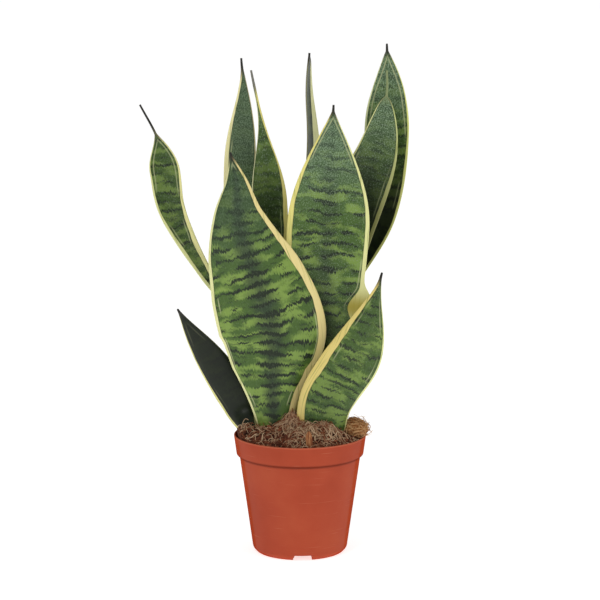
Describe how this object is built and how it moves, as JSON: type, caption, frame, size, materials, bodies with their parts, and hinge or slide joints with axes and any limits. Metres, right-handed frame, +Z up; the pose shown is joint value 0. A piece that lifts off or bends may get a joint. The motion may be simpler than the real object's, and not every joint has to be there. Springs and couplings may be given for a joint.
{
  "type": "potted snake plant",
  "caption": "Upright snake plant with stiff, pointed, yellow-edged banded leaves rising from soil in a tapered round nursery pot with a deep rim band.",
  "frame": {"origin": "middle of the bounding box at the surface the pot stands on", "axes": "+Z up along the leaves, -Y towards the viewer of the plant's front, +X to that viewer's right"},
  "size_m": [0.2444, 0.123, 0.4572],
  "materials": {
    "pot": "matt terracotta-orange moulded plastic",
    "soil": "moist peat and coir potting mix",
    "rhizome": "pale living rhizome",
    "coir": "loose coconut fibre",
    "bark": "dry bark",
    "leaf_front_broad": "smooth waxy living leaf, dark bands on green with a yellow edge",
    "leaf_centre_broad": "smooth waxy living leaf, dark bands on green with a yellow edge",
    "leaf_low_right": "smooth waxy living leaf, dark bands on green with a yellow edge",
    "leaf_low_left": "smooth waxy living leaf, dark bands on green with a yellow edge",
    "leaf_far_left": "smooth waxy living leaf, dark bands on green with a yellow edge",
    "leaf_tall_left": "smooth waxy living leaf, dark bands on green with a yellow edge",
    "leaf_slim_left": "smooth waxy living leaf, dark bands on green with a yellow edge",
    "leaf_slim_centre": "smooth waxy living leaf, dark bands on green with a yellow edge",
    "leaf_tall_right": "smooth waxy living leaf, dark bands on green with a yellow edge",
    "leaf_inner_right": "smooth waxy living leaf, dark bands on green with a yellow edge"
  },
  "bodies": {
    "root": {"pot": "pot", "soil": "soil", "rhizome": "rhizome", "coir_clump": "coir", "bark_chip": "bark", "leaf_front_broad": "leaf_front_broad", "leaf_centre_broad": "leaf_centre_broad", "leaf_low_right": "leaf_low_right", "leaf_low_left": "leaf_low_left", "leaf_far_left": "leaf_far_left", "leaf_tall_left": "leaf_tall_left", "leaf_slim_left": "leaf_slim_left", "leaf_slim_centre": "leaf_slim_centre", "leaf_tall_right": "leaf_tall_right", "leaf_inner_right": "leaf_inner_right"}
  },
  "joints": []
}
